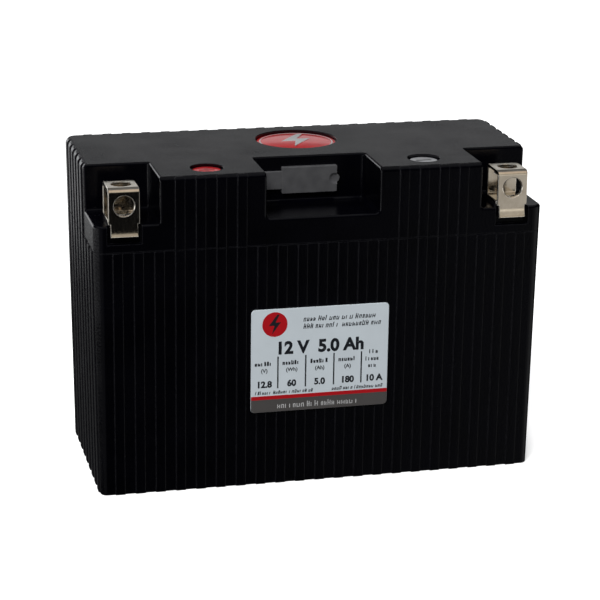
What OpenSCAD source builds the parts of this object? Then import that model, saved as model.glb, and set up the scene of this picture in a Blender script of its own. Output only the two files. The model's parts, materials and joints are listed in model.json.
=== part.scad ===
// Starter battery for a motorcycle: a ribbed, drafted case with a bonded cover, two folded
// strip terminals in open corner pockets, a charging port under a hinged rubber cap, and a
// pack of four pouch cells in series.
// Frame: origin at the middle of the base, +Z up, the terminals and the front label face -Y.

/* [Outside] */
// Length over the ribs, left to right
battery_length = 148; // [146:1:160]
// Depth over the ribs, front to back
battery_depth = 66; // [64:1:76]
// Height from the base to the flat top
battery_height = 105; // [103:1:115]
// How much each side leans in from the top to the base
draft = 1.25; // [0:0.25:1.25]
// Radius of the four upright corners
corner_radius = 4; // [4:0.5:7]
// Height of the seam between the case and the cover
seam_height = 81.4; // [78:0.2:82]
// Thickness of the moulded walls
wall = 2.2; // [2:0.1:2.6]

/* [Ribs] */
// Distance from one rib to the next
rib_pitch = 6.6; // [6:0.2:7]
// Width of one rib
rib_width = 3.3; // [2.6:0.1:3.6]
// How far a rib stands out from the wall
rib_height = 0.45; // [0.3:0.05:0.6]
// Rounding of the top edge between the ribs
top_radius = 1.5; // [1.5:0.25:2.5]
// Rounding of the bottom edge between the ribs
bottom_radius = 0.5; // [0.5:0.25:1.5]

/* [Pockets and notch] */
// Height of the ledge that the pockets and the notch stand on
ledge_height = 90; // [89:0.5:91]
// Distance from the centre to a terminal pocket
pocket_inner_x = 52.6; // [51:0.2:53]
// Distance from the centre back to the rear wall of a pocket
pocket_back_y = 11.3; // [11:0.1:12]
// Half the width of the middle notch
notch_half_width = 18.5; // [18:0.25:19]
// Small bevel on the edges of the pockets and the notch
edge_bevel = 0.8; // [0.4:0.1:1]

/* [Terminals] */
// Width of the folded strip
strip_width = 10; // [9.6:0.1:10.6]
// Thickness of the folded strip
strip_thickness = 1.2; // [1:0.1:1.4]
// Diameter of the bolt holes
bolt_hole = 6.4; // [6.2:0.1:6.8]
// Height of the top of a terminal
terminal_top = 102; // [101.5:0.1:102.4]

/* [Charging port] */
// Width of the rubber cap
cap_width = 18.4; // [17.6:0.2:19]
// Height of the rubber cap
cap_height = 8.8; // [8.4:0.1:9.2]
// Number of pins in the port
pin_count = 5; // [4:1:5]

/* [Cells] */
// Thickness of one cell
cell_thickness = 10.5; // [9.5:0.5:10.5]
// Length of one cell
cell_length = 122; // [110:1:124]

/* [Hidden] */
curve = 48;
small_curve = 32;
// the wall between the ribs, at the height of the top
face_x = battery_length / 2 - rib_height;
face_y = battery_depth / 2 - rib_height;
corner_centre = corner_radius - rib_height;
arc_step = 30;
corner_step = 15;
rib_end_gap = 0.1;
tilt = atan(draft / battery_height);
joint_gap = 0.15;
tongue_height = 1;
tongue_width = 1.5;
seal_height = 0.35;
slack = 1;

// inside of the case
floor_thickness = 2.4;
inner_x = face_x - draft - wall;
inner_y = face_y - draft - wall;
inner_radius = 3;
roof_z = battery_height - 2.4;
// inside of the cover, where the walls stand nearer to the top
cover_inner_x = face_x - 0.3 - wall;
cover_inner_y = face_y - 0.3 - wall;

// rib rows, in steps from the middle
side_ribs = 4;
front_ribs = 10;
block_rib_first = 4;
block_rib_last = 7;
side_rib_front = 1;

// terminals
terminal_x = (pocket_inner_x + battery_length / 2) / 2;
// both strips sit a little to the left of the middle of their pockets
terminal_shift = -0.4;
terminal_front = battery_depth / 2 - 1;
strip_depth = 12;
terminal_back = terminal_front - strip_depth;
terminal_base = ledge_height + 0.6;
bend_radius = 1.7;
tab_drop = 4.2;
tab_inset = 0.6;
hole_z = (terminal_base + terminal_top) / 2;
hole_y = -(terminal_front + terminal_back) / 2;
slot_width = 11;
slot_depth = 2.8;
slot_drop = 6;
slot_backing = 4;
rivet_radius = 1.6;
rivet_head_radius = 2.9;
rivet_head = 0.9;
rivet_gap = 0.05;
lug_thickness = 1.2;
lug_radius = 4.2;
ledge_under = ledge_height - wall;

// discs and badge on the top
disc_x = 35.7;
disc_y = -21.8;
disc_recess_radius = 5.3;
disc_recess_depth = 1.2;
disc_radius = 4.6;
disc_thickness = 0.35;
badge_x = 1.4;
badge_y = 12.6;
badge_recess_radius = 13.6;
badge_recess_depth = 1.3;
badge_radius = 13.3;
badge_thickness = 0.4;

// charging port, on the rear wall of the notch
notch_back_y = 11.5;
cap_z = 97.3;
cap_plate = 1.6;
cap_stand_off = 0.15;
strap_height = 6;
strap_thickness = 1;
hinge_x = -15.4;
hinge_gap = 0.25;
anchor_length = 2.2;
skirt_depth = 1.2;
skirt_gap = 0.35;
skirt_wall = 0.9;
port_width = 15.2;
port_height = 6;
shell_wall = 0.9;
shell_depth = 10.5;
shell_back = 2.4;
pin_pitch = 2.5;
pin_width = 0.64;
dimple_radius = 3.2;
dimple_out = 2.4;
dimple_inset = 0.8;

// labels
label_width = 45.6;
label_height = 35;
label_z = 42.7;
label_shift = -0.6;
label_thickness = 0.2;
label_radius = 1.4;

// cell pack
cell_count = 4;
cell_pitch = cell_thickness + 1.1;
separator_thickness = 0.8;
cell_base = floor_thickness + 3.6;
cell_top = 71.5;
pouch_rim = 2.5;
rim_thickness = 1;
tab_width = 20;
tab_thickness = 0.4;
tab_x = 34;
tab_top = 79.4;
board_z = 76;
board_thickness = 1.6;
link_thickness = 1.2;
lead_radius = 1.9;
lead_z = 84;
balance_radius = 0.65;

// middle of the terminal strip; side is -1 at the left and 1 at the right
function terminal_at(side) = side * terminal_x + terminal_shift;

// how far the wall has leaned in at a height
function lean(z) = draft * (battery_height - z) / battery_height;

// a box given by its low and high corners
module span(low, high) {
    translate(low)
        cube([high[0] - low[0], high[1] - low[1], high[2] - low[2]]);
}

module rounded_rect(half_x, half_y, radius) {
    square([2 * half_x, 2 * (half_y - radius)], center = true);
    square([2 * (half_x - radius), 2 * half_y], center = true);
    for (sx = [-1, 1])
        for (sy = [-1, 1])
            translate([sx * (half_x - radius), sy * (half_y - radius)])
                circle(r = radius, $fn = curve);
}

module rounded_block(half_x, half_y, radius, z_low, z_high) {
    translate([0, 0, z_low])
        linear_extrude(height = z_high - z_low)
            rounded_rect(half_x, half_y, radius);
}

// the outline of the body across one direction: leaning sides, a rounded top and foot
module leaning_outline(half_width, z_low, z_high, top_bend, foot_bend) {
    right = concat(
        [for (angle = [0 : arc_step : 90])
            [half_width - draft - foot_bend * (1 - sin(angle)),
             z_low + foot_bend * (1 - cos(angle))]],
        [for (angle = [0 : arc_step : 90])
            [half_width - lean(z_high - top_bend) - top_bend * (1 - cos(angle)),
             z_high - top_bend * (1 - sin(angle))]]);
    left = [for (i = [len(right) - 1 : -1 : 0]) [-right[i][0], right[i][1]]];
    polygon(concat(right, left));
}

// the plain body between the ribs: what is common to leaning bars laid in many directions
module plain_body() {
    intersection_for (turn = [0 : corner_step : 180 - corner_step]) {
        reach = (face_x - corner_centre) * abs(cos(turn))
              + (face_y - corner_centre) * abs(sin(turn)) + corner_centre;
        rotate([0, 0, turn])
            rotate([90, 0, 0])
                linear_extrude(height = 2 * battery_length, center = true)
                    leaning_outline(reach, 0, battery_height, top_radius, bottom_radius);
    }
}

// the outline of a rib that runs right round the body, seen along its length
module rib_outline(half_width) {
    leaning_outline(half_width, rib_end_gap, battery_height - rib_end_gap,
        top_radius + rib_height + rib_end_gap, bottom_radius + rib_height - rib_end_gap);
}

// ribs on the front and back, for the steps first to last on both sides of the middle
module front_rib_slabs(first, last) {
    for (step = [first : last])
        for (side = step == 0 ? [1] : [-1, 1])
            translate([side * step * rib_pitch - rib_width / 2, 0, 0])
                rotate([90, 0, 90])
                    linear_extrude(height = rib_width)
                        rib_outline(battery_depth / 2);
}

// ribs on the left and right ends, for the steps first to last counted from the front
module side_rib_slabs(first, last) {
    for (step = [first : last])
        translate([0, step * rib_pitch + rib_width / 2, 0])
            rotate([90, 0, 0])
                linear_extrude(height = rib_width)
                    rib_outline(battery_length / 2);
}

module case() {
    color([0.03, 0.03, 0.035])
        difference() {
            union() {
                intersection() {
                    union() {
                        plain_body();
                        front_rib_slabs(0, front_ribs);
                        side_rib_slabs(-side_ribs, side_ribs);
                    }
                    span([-battery_length, -battery_depth, -slack],
                         [battery_length, battery_depth, seam_height]);
                }
                rounded_block(inner_x + tongue_width, inner_y + tongue_width,
                    inner_radius + tongue_width,
                    seam_height - slack, seam_height + tongue_height);
            }
            rounded_block(inner_x, inner_y, inner_radius,
                floor_thickness, battery_height);
        }
}

// the open space of one terminal pocket, grown by extra on its inner sides
module pocket_space(side, extra) {
    low_x = pocket_inner_x - extra;
    high_x = battery_length / 2 + slack;
    span([side > 0 ? low_x : -high_x, -battery_depth, ledge_height - extra],
         [side > 0 ? high_x : -low_x, -pocket_back_y + extra, battery_height + slack]);
}

module notch_space(extra) {
    span([-notch_half_width - extra, -battery_depth, ledge_height - extra],
         [notch_half_width + extra, -notch_back_y + extra, battery_height + slack]);
}

// the slot in the front of the ledge that takes the lower tab of a terminal
module tab_slot(side) {
    x = terminal_at(side);
    span([x - slot_width / 2, -battery_depth, ledge_height - slot_drop],
         [x + slot_width / 2, -battery_depth / 2 + slot_depth, ledge_height + slack]);
}

// opens the top edges of a pocket outwards by the bevel; the pocket runs out of the front
module flared_mouth(low_x, high_x, back_y) {
    half_x = (high_x - low_x) / 2;
    half_y = battery_depth / 2;
    grow = edge_bevel + slack;
    translate([(low_x + high_x) / 2, back_y - half_y, battery_height - edge_bevel])
        linear_extrude(
            height = grow,
            scale = [(half_x + grow) / half_x, (half_y + grow) / half_y])
            square([2 * half_x, 2 * half_y], center = true);
}

// bevels an upright edge, from the ledge to the top
module upright_bevel(x, y) {
    size = edge_bevel * sqrt(2);
    translate([x, y, battery_height])
        rotate([0, 0, 45])
            cube([size, size, 2 * (battery_height - ledge_height)], center = true);
}

module pocket_bevels(side) {
    reach = battery_length / 2 - pocket_inner_x + 2 * slack;
    middle = side * (pocket_inner_x + reach / 2);
    flared_mouth(middle - reach / 2, middle + reach / 2, -pocket_back_y);
    upright_bevel(side * pocket_inner_x, -face_y + lean(ledge_height));
    upright_bevel(side * (face_x - lean(ledge_height)), -pocket_back_y);
}

module notch_bevels() {
    flared_mouth(-notch_half_width, notch_half_width, -notch_back_y);
    for (side = [-1, 1])
        upright_bevel(side * notch_half_width, -face_y + lean(ledge_height));
}

module cover_cavity() {
    difference() {
        rounded_block(cover_inner_x, cover_inner_y, inner_radius,
            seam_height - slack, roof_z);
        for (side = [-1, 1]) {
            pocket_space(side, wall);
            span([terminal_at(side) - slot_width / 2 - wall, -battery_depth, 0],
                 [terminal_at(side) + slot_width / 2 + wall,
                  -battery_depth / 2 + slot_backing, ledge_height]);
        }
        notch_space(wall);
    }
}

module cover() {
    rebate_x = inner_x + tongue_width + joint_gap;
    rebate_y = inner_y + tongue_width + joint_gap;
    color([0.03, 0.03, 0.035])
        difference() {
            union() {
                intersection() {
                    union() {
                        plain_body();
                        front_rib_slabs(block_rib_first, block_rib_last);
                        intersection() {
                            front_rib_slabs(0, front_ribs);
                            span([-battery_length, 0, 0],
                                 [battery_length, battery_depth, battery_height]);
                        }
                        side_rib_slabs(-side_rib_front, side_ribs);
                    }
                    span([-battery_length, -battery_depth, seam_height],
                         [battery_length, battery_depth, battery_height + slack]);
                }
            }
            for (side = [-1, 1]) {
                pocket_space(side, 0);
                pocket_bevels(side);
                tab_slot(side);
                translate([side * disc_x, disc_y, battery_height - disc_recess_depth])
                    cylinder(r = disc_recess_radius, h = slack + disc_recess_depth, $fn = curve);
                translate([terminal_at(side), hole_y, ledge_under - slack])
                    cylinder(r = rivet_radius + rivet_gap, h = 5, $fn = small_curve);
            }
            notch_space(0);
            notch_bevels();
            translate([badge_x, badge_y, battery_height - badge_recess_depth])
                cylinder(r = badge_recess_radius, h = slack + badge_recess_depth, $fn = 96);
            span([-port_width / 2, -notch_back_y - slack, cap_z - port_height / 2],
                 [port_width / 2, -notch_back_y + wall + slack, cap_z + port_height / 2]);
            cover_cavity();
            rounded_block(rebate_x, rebate_y, inner_radius + tongue_width,
                seam_height - slack, seam_height + tongue_height + seal_height + 0.05);
        }
    // raised seats that carry the terminals
    color([0.03, 0.03, 0.035])
        for (side = [-1, 1])
            difference() {
                span([terminal_at(side) - strip_width / 2, -battery_depth / 2 + slot_depth + 0.4,
                      ledge_height - 0.3],
                     [terminal_at(side) + strip_width / 2, -terminal_back, terminal_base]);
                translate([terminal_at(side), hole_y, ledge_under - slack])
                    cylinder(r = rivet_radius + rivet_gap, h = 5, $fn = small_curve);
            }
}

// bead of adhesive on top of the tongue of the case
module cover_seal() {
    inset = 0.3;
    z_low = seam_height + tongue_height;
    color([0.12, 0.12, 0.12])
        difference() {
            rounded_block(inner_x + tongue_width - inset, inner_y + tongue_width - inset,
                inner_radius + tongue_width - inset, z_low, z_low + seal_height);
            rounded_block(inner_x + inset, inner_y + inset,
                inner_radius + inset, z_low - slack, z_low + seal_height + slack);
        }
}

// the folded strip seen from its open end: y along the first axis, z along the second
module strip_outline() {
    inner = bend_radius - strip_thickness;
    difference() {
        translate([-terminal_back - strip_depth, terminal_base])
            union() {
                translate([bend_radius, 0])
                    square([strip_depth - 2 * bend_radius, terminal_top - terminal_base]);
                translate([0, bend_radius])
                    square([strip_depth, terminal_top - terminal_base - 2 * bend_radius]);
                square([bend_radius, bend_radius]);
                for (corner = [[bend_radius, terminal_top - terminal_base - bend_radius],
                               [strip_depth - bend_radius, bend_radius],
                               [strip_depth - bend_radius,
                                terminal_top - terminal_base - bend_radius]])
                    translate(corner)
                        circle(r = bend_radius, $fn = small_curve);
            }
        translate([-terminal_front + strip_thickness, terminal_base + strip_thickness])
            union() {
                width = strip_depth - 2 * strip_thickness;
                height = terminal_top - terminal_base - 2 * strip_thickness;
                translate([0, inner])
                    square([width, height - 2 * inner]);
                translate([inner, 0])
                    square([width - 2 * inner, height]);
                for (corner = [[inner, height - inner], [width - inner, inner],
                               [width - inner, height - inner]])
                    translate(corner)
                        circle(r = inner, $fn = small_curve);
                square([inner, inner]);
            }
        // the free end of the bottom fold stops just short of the front plate
        translate([-terminal_front + strip_thickness, terminal_base - slack])
            square([0.25, slack + strip_thickness + 0.1]);
    }
}

module terminal(side) {
    color([0.78, 0.75, 0.68])
        translate([terminal_at(side), 0, 0])
            difference() {
                union() {
                    translate([-strip_width / 2, 0, 0])
                        rotate([90, 0, 90])
                            linear_extrude(height = strip_width)
                                strip_outline();
                    span([-strip_width / 2 + tab_inset, -terminal_front,
                          terminal_base - tab_drop],
                         [strip_width / 2 - tab_inset, -terminal_front + strip_thickness,
                          terminal_base + slack]);
                }
                translate([0, -terminal_front - slack, hole_z])
                    rotate([-90, 0, 0])
                        cylinder(d = bolt_hole, h = strip_thickness + 2 * slack, $fn = curve);
                translate([0, hole_y, terminal_top - strip_thickness - slack])
                    cylinder(d = bolt_hole, h = strip_thickness + 2 * slack, $fn = curve);
                translate([0, hole_y, terminal_base - slack])
                    cylinder(r = rivet_radius + rivet_gap, h = strip_thickness + 2 * slack,
                        $fn = small_curve);
            }
}

// one rivet per terminal, from the bottom fold down through the ledge to the lug
module terminal_rivets() {
    plate_top = terminal_base + strip_thickness;
    lug_under = ledge_under - lug_thickness;
    color([0.72, 0.7, 0.66])
        for (side = [-1, 1])
            translate([terminal_at(side), hole_y, 0]) {
                translate([0, 0, lug_under - rivet_head])
                    cylinder(r = rivet_head_radius, h = rivet_head, $fn = small_curve);
                translate([0, 0, lug_under - 0.2])
                    cylinder(r = rivet_radius, h = plate_top - lug_under + 0.4,
                        $fn = small_curve);
                translate([0, 0, plate_top])
                    cylinder(r1 = rivet_head_radius, r2 = rivet_head_radius - 0.6,
                        h = rivet_head, $fn = small_curve);
            }
}

module polarity_disc(side) {
    color(side < 0 ? [0.72, 0.05, 0.05] : [0.6, 0.6, 0.6])
        translate([side * disc_x, disc_y, battery_height - disc_recess_depth])
            cylinder(r = disc_radius, h = disc_thickness, $fn = curve);
}

module badge_disc() {
    color([0.7, 0.06, 0.06])
        translate([badge_x, badge_y, battery_height - badge_recess_depth])
            cylinder(r = badge_radius, h = badge_thickness, $fn = 96);
}

module cap_skirt(half_x, half_z) {
    depth = cap_stand_off + skirt_depth;
    translate([0, -notch_back_y + skirt_depth, cap_z])
        rotate([90, 0, 0])
            linear_extrude(height = depth)
                rounded_rect(half_x, half_z, 1);
}

// rubber cap: a cover plate with a thumb dimple, a plug skirt, a pull nib and its strap
module port_cap() {
    plate_back = -notch_back_y - cap_stand_off;
    opening_x = port_width / 2 - shell_wall - skirt_gap;
    opening_z = port_height / 2 - shell_wall - skirt_gap;
    color([0.55, 0.55, 0.55]) {
        difference() {
            union() {
                translate([0, plate_back, cap_z])
                    rotate([90, 0, 0])
                        linear_extrude(height = cap_plate)
                            rounded_rect(cap_width / 2, cap_height / 2, 0.5);
                translate([cap_width / 2 - 0.5, plate_back, cap_z])
                    rotate([90, 0, 0])
                        cylinder(r = 1.5, h = cap_plate - 0.5, $fn = small_curve);
                span([hinge_x + hinge_gap, plate_back - strap_thickness, cap_z - strap_height / 2],
                     [-cap_width / 2 + 0.5, plate_back, cap_z + strap_height / 2]);
            }
            translate([cap_width / 2 - dimple_inset, plate_back - cap_plate - dimple_out, cap_z])
                sphere(r = dimple_radius, $fn = curve);
        }
        difference() {
            cap_skirt(opening_x, opening_z);
            translate([0, -0.01, 0])
                cap_skirt(opening_x - skirt_wall, opening_z - skirt_wall);
            span([-opening_x + skirt_wall, plate_back + 0.2, cap_z - opening_z + skirt_wall],
                 [opening_x - skirt_wall, 0, cap_z + opening_z - skirt_wall]);
        }
    }
}

// fixed end of the strap, bonded to the rear wall of the notch
module port_cap_anchor() {
    plate_back = -notch_back_y;
    color([0.55, 0.55, 0.55])
        span([hinge_x - hinge_gap - anchor_length,
              plate_back - cap_stand_off - strap_thickness, cap_z - strap_height / 2],
             [hinge_x - hinge_gap, plate_back, cap_z + strap_height / 2]);
}

// open-ended moulded shell set into the rear wall of the notch
module port_connector_shell() {
    half_x = port_width / 2 - joint_gap;
    half_z = port_height / 2 - joint_gap;
    color([0.85, 0.83, 0.76])
        difference() {
            union() {
                span([-half_x, -notch_back_y + 0.1, cap_z - half_z],
                     [half_x, -notch_back_y + shell_depth, cap_z + half_z]);
                span([-half_x - 1, -notch_back_y + wall + 0.05, cap_z - half_z - 1],
                     [half_x + 1, -notch_back_y + wall + 1.4, cap_z + half_z + 1]);
            }
            span([-half_x + shell_wall, -notch_back_y - slack, cap_z - half_z + shell_wall],
                 [half_x - shell_wall, -notch_back_y + shell_depth - shell_back,
                  cap_z + half_z - shell_wall]);
            for (i = [0 : pin_count - 1])
                span([pin_x(i) - pin_width / 2, -notch_back_y, cap_z - pin_width / 2],
                     [pin_x(i) + pin_width / 2, 0, cap_z + pin_width / 2]);
        }
}

function pin_x(i) = (i - (pin_count - 1) / 2) * pin_pitch;

module port_pins() {
    pin_front = -notch_back_y + 2.4;
    color([0.85, 0.7, 0.35])
        for (i = [0 : pin_count - 1])
            span([pin_x(i) - pin_width / 2, pin_front, cap_z - pin_width / 2],
                 [pin_x(i) + pin_width / 2, -notch_back_y + shell_depth + 1.2,
                  cap_z + pin_width / 2]);
}

function cell_y(i) = (i - (cell_count - 1) / 2) * cell_pitch;

// a pouch cell: the swollen body and the flat sealed rim round it
module cell(i) {
    color([0.78, 0.79, 0.8])
        translate([0, cell_y(i), 0]) {
            translate([0, cell_thickness / 2, 0])
                rotate([90, 0, 0])
                    linear_extrude(height = cell_thickness)
                        translate([0, (cell_base + cell_top) / 2])
                            rounded_rect(cell_length / 2 - pouch_rim,
                                (cell_top - cell_base) / 2 - pouch_rim, 2);
            translate([0, rim_thickness / 2, 0])
                rotate([90, 0, 0])
                    linear_extrude(height = rim_thickness)
                        translate([0, (cell_base + cell_top) / 2])
                            rounded_rect(cell_length / 2, (cell_top - cell_base) / 2, 1);
        }
}

// one upright tab of a cell; side is -1 at the left end and 1 at the right end
module cell_tab(i, side) {
    x = side * tab_x;
    span([x - tab_width / 2, cell_y(i) - tab_thickness / 2, cell_top],
         [x + tab_width / 2, cell_y(i) + tab_thickness / 2, tab_top]);
}

// neighbouring cells face opposite ways, so that short links join them in series
function positive_side(i) = i % 2 == 0 ? -1 : 1;

module cell_tabs_aluminium() {
    color([0.8, 0.81, 0.83])
        for (i = [0 : cell_count - 1])
            cell_tab(i, positive_side(i));
}

module cell_tabs_copper() {
    color([0.75, 0.45, 0.3])
        for (i = [0 : cell_count - 1])
            cell_tab(i, -positive_side(i));
}

module cell_separators() {
    color([0.9, 0.9, 0.86])
        for (i = [0 : cell_count - 2])
            span([-cell_length / 2 + 3, cell_y(i) + cell_pitch / 2 - separator_thickness / 2,
                  cell_base],
                 [cell_length / 2 - 3, cell_y(i) + cell_pitch / 2 + separator_thickness / 2,
                  cell_top]);
}

module series_links() {
    color([0.76, 0.5, 0.34])
        for (i = [0 : cell_count - 2]) {
            x = -positive_side(i) * tab_x;
            z_low = board_z + board_thickness;
            span([x - tab_width / 2 + 1, cell_y(i) + tab_thickness / 2, z_low],
                 [x + tab_width / 2 - 1, cell_y(i + 1) - tab_thickness / 2,
                  z_low + link_thickness]);
        }
}

module tab_board() {
    slot = 0.4;
    color([0.1, 0.35, 0.2])
        difference() {
            span([-56, -22, board_z], [56, 22, board_z + board_thickness]);
            for (i = [0 : cell_count - 1])
                for (side = [-1, 1])
                    span([side * tab_x - tab_width / 2 - slot,
                          cell_y(i) - tab_thickness / 2 - slot, board_z - slack],
                         [side * tab_x + tab_width / 2 + slot,
                          cell_y(i) + tab_thickness / 2 + slot,
                          board_z + board_thickness + slack]);
        }
}

// a straight length of wire with a round end at both points
module wire(from, to, radius) {
    step = to - from;
    length = norm(step);
    turn_z = atan2(step[1], step[0]);
    turn_y = acos(step[2] / length);
    translate(from) {
        sphere(r = radius, $fn = small_curve);
        rotate([0, turn_y, turn_z])
            cylinder(r = radius, h = length, $fn = small_curve);
    }
    translate(to)
        sphere(r = radius, $fn = small_curve);
}

module wire_path(points, radius) {
    for (i = [0 : len(points) - 2])
        wire(points[i], points[i + 1], radius);
}

// from the first cell's left tab to the left lug
module lead_positive() {
    end_y = cell_y(0) - tab_thickness / 2 - lead_radius - 0.05;
    color([0.7, 0.08, 0.08])
        wire_path([
            [terminal_at(-1) + lug_radius + 2.2, hole_y, lead_z],
            [-tab_x - 6, hole_y, lead_z],
            [-tab_x - 6, end_y, lead_z],
            [-tab_x - 6, end_y, board_z + board_thickness + lead_radius + 0.1]
        ], lead_radius);
}

// from the last cell's left tab along the back to the right lug
module lead_negative() {
    end_y = cell_y(cell_count - 1) + tab_thickness / 2 + lead_radius + 0.05;
    run_y = 25;
    color([0.05, 0.05, 0.05])
        wire_path([
            [terminal_at(1) - lug_radius - 2.2, hole_y, lead_z],
            [46, hole_y, lead_z],
            [46, run_y, lead_z],
            [-tab_x, run_y, lead_z],
            [-tab_x, end_y, lead_z],
            [-tab_x, end_y, board_z + board_thickness + lead_radius + 0.1]
        ], lead_radius);
}

// ring lugs under the ledges, each with a tongue that runs down to its lead
module lead_lugs() {
    low = ledge_under - lug_thickness;
    color([0.72, 0.7, 0.66])
        for (side = [-1, 1]) {
            difference() {
                union() {
                    translate([terminal_at(side), hole_y, low])
                        cylinder(r = lug_radius, h = lug_thickness, $fn = small_curve);
                    span([terminal_at(side) + min(-9 * side, 0), hole_y - 1.8, low],
                         [terminal_at(side) + max(-9 * side, 0), hole_y + 1.8, ledge_under]);
                }
                translate([terminal_at(side), hole_y, low - slack])
                    cylinder(r = rivet_radius + rivet_gap, h = lug_thickness + 2 * slack,
                        $fn = small_curve);
                // flat front edge, beside the wall behind the tab slot
                span([terminal_at(side) - 2 * lug_radius, -battery_depth, low - slack],
                     [terminal_at(side) + 2 * lug_radius, hole_y - rivet_head_radius,
                      ledge_under + slack]);
            }
        }
}

module balance_leads() {
    start_y = -notch_back_y + shell_depth + 1.2 + balance_radius + 0.05;
    color([0.85, 0.85, 0.82])
        for (i = [0 : pin_count - 1])
            wire_path([
                [pin_x(i), start_y, cap_z],
                [pin_x(i), start_y + 2 + 1.5 * i, cap_z],
                [pin_x(i), start_y + 2 + 1.5 * i, board_z + board_thickness + 0.8]
            ], balance_radius);
}

module foam_pad(low, high) {
    color([0.2, 0.2, 0.21])
        span(low, high);
}

module foam_front() {
    stack = cell_y(cell_count - 1) + cell_thickness / 2;
    foam_pad([-58, -inner_y + 0.2, cell_base], [58, -stack - 0.2, cell_top - 4]);
}

module foam_back() {
    stack = cell_y(cell_count - 1) + cell_thickness / 2;
    foam_pad([-58, stack + 0.2, cell_base], [58, inner_y - 0.2, cell_top - 4]);
}

module foam_base() {
    foam_pad([-62, -inner_y + 1, floor_thickness], [62, inner_y - 1, cell_base - 0.2]);
}

module foam_ends() {
    for (side = [-1, 1])
        foam_pad([side < 0 ? -inner_x + 0.3 : cell_length / 2 + 0.3, -22, cell_base],
                 [side < 0 ? -cell_length / 2 - 0.3 : inner_x - 0.3, 22, cell_top - 4]);
}

module foam_top() {
    foam_pad([-40, 11, lead_z + lead_radius + 0.3], [40, 28, roof_z - 0.2]);
}

// a thin label that follows the lean of the wall, laid on the tops of the ribs
module label(side) {
    lean_here = lean(label_z);
    color([0.72, 0.76, 0.78])
        translate([label_shift * side, -side * (battery_depth / 2 - lean_here), label_z])
            rotate([90 + (side > 0 ? tilt : -tilt), 0, 0])
                translate([0, 0, side > 0 ? 0.02 : -label_thickness - 0.02])
                    linear_extrude(height = label_thickness)
                        rounded_rect(label_width / 2, label_height / 2, label_radius);
}

module terminal_positive() {
    terminal(-1);
}

module terminal_negative() {
    terminal(1);
}

case();
cover();
cover_seal();
terminal_positive();
terminal_negative();
terminal_rivets();
polarity_disc(-1);  // polarity_disc_positive
polarity_disc(1);  // polarity_disc_negative
badge_disc();
port_cap();
port_cap_anchor();
port_connector_shell();
port_pins();
cell(0);  // cell_1
cell(1);  // cell_2
cell(2);  // cell_3
cell(3);  // cell_4
cell_tabs_aluminium();
cell_tabs_copper();
cell_separators();
series_links();
tab_board();
lead_positive();
lead_negative();
lead_lugs();
balance_leads();
foam_front();
foam_back();
foam_base();
foam_ends();
foam_top();
label(1);  // label_front
label(-1);  // label_back
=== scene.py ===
"""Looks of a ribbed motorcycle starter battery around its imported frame.

Lengths below are in millimetres in the frame's own axes (X to the right, Y away from the
front, Z up); every mesh is scaled to metres when it becomes an object.
"""
import json
import math

import bmesh
import bpy
from mathutils import Matrix, Vector


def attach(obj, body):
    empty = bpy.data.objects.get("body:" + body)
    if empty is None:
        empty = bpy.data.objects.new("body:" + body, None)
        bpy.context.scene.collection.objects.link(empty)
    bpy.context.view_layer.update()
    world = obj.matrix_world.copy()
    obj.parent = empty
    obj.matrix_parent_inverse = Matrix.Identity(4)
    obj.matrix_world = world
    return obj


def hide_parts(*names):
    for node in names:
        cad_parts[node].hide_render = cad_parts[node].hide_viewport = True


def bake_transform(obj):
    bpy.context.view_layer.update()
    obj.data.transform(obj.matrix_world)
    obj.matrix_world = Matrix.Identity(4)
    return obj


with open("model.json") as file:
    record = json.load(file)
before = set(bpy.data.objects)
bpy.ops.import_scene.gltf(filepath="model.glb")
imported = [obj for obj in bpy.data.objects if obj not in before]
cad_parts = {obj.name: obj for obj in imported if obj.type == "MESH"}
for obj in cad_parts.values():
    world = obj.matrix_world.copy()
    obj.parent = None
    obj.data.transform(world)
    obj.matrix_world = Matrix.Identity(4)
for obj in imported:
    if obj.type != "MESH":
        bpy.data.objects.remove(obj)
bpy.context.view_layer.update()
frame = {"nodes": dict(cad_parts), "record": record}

MM = 0.001

# ---------------------------------------------------------------- driving dimensions
LENGTH = 148.0
DEPTH = 66.0
HEIGHT = 105.0
DRAFT = 1.25
SEAM = 81.4
RIB_PITCH = 6.6
RIB_WIDTH = 3.3
RIB_HEIGHT = 0.45
CORNER = 4.0
TOP_ROLL = 1.5
FOOT_ROLL = 0.5
FACE_X = LENGTH / 2 - RIB_HEIGHT
FACE_Y = DEPTH / 2 - RIB_HEIGHT
WALL = 2.2
GROOVE = 0.1
GROOVE_DEPTH = 0.35
LEDGE = 90.0
POCKET_X = 52.6
POCKET_Y = -11.3
NOTCH_X = 18.5
NOTCH_Y = -11.5
EDGE_ROUND = 0.8
TERMINAL_X = {-1: -63.7, 1: 62.9}
DISC_X = 35.7
DISC_Y = -21.8
BADGE_X = 1.4
BADGE_Y = 12.6
BADGE_DEPTH = 1.3
DISC_DEPTH = 1.2


def lean(z):
    """How far the wall has leaned in at a height."""
    return DRAFT * (HEIGHT - z) / HEIGHT


# ---------------------------------------------------------------- mesh helpers
def link(name, mesh):
    piece = bpy.data.objects.new(name, mesh)
    bpy.context.scene.collection.objects.link(piece)
    return piece


def mesh_piece(name, points, faces):
    """A new object from points in millimetres, with its faces turned outwards."""
    mesh = bpy.data.meshes.new(name)
    mesh.from_pydata([Vector(p) * MM for p in points], [], faces)
    bm = bmesh.new()
    bm.from_mesh(mesh)
    bmesh.ops.remove_doubles(bm, verts=bm.verts, dist=1e-7)
    bmesh.ops.recalc_face_normals(bm, faces=bm.faces)
    bm.to_mesh(mesh)
    bm.free()
    return link(name, mesh)


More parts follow.
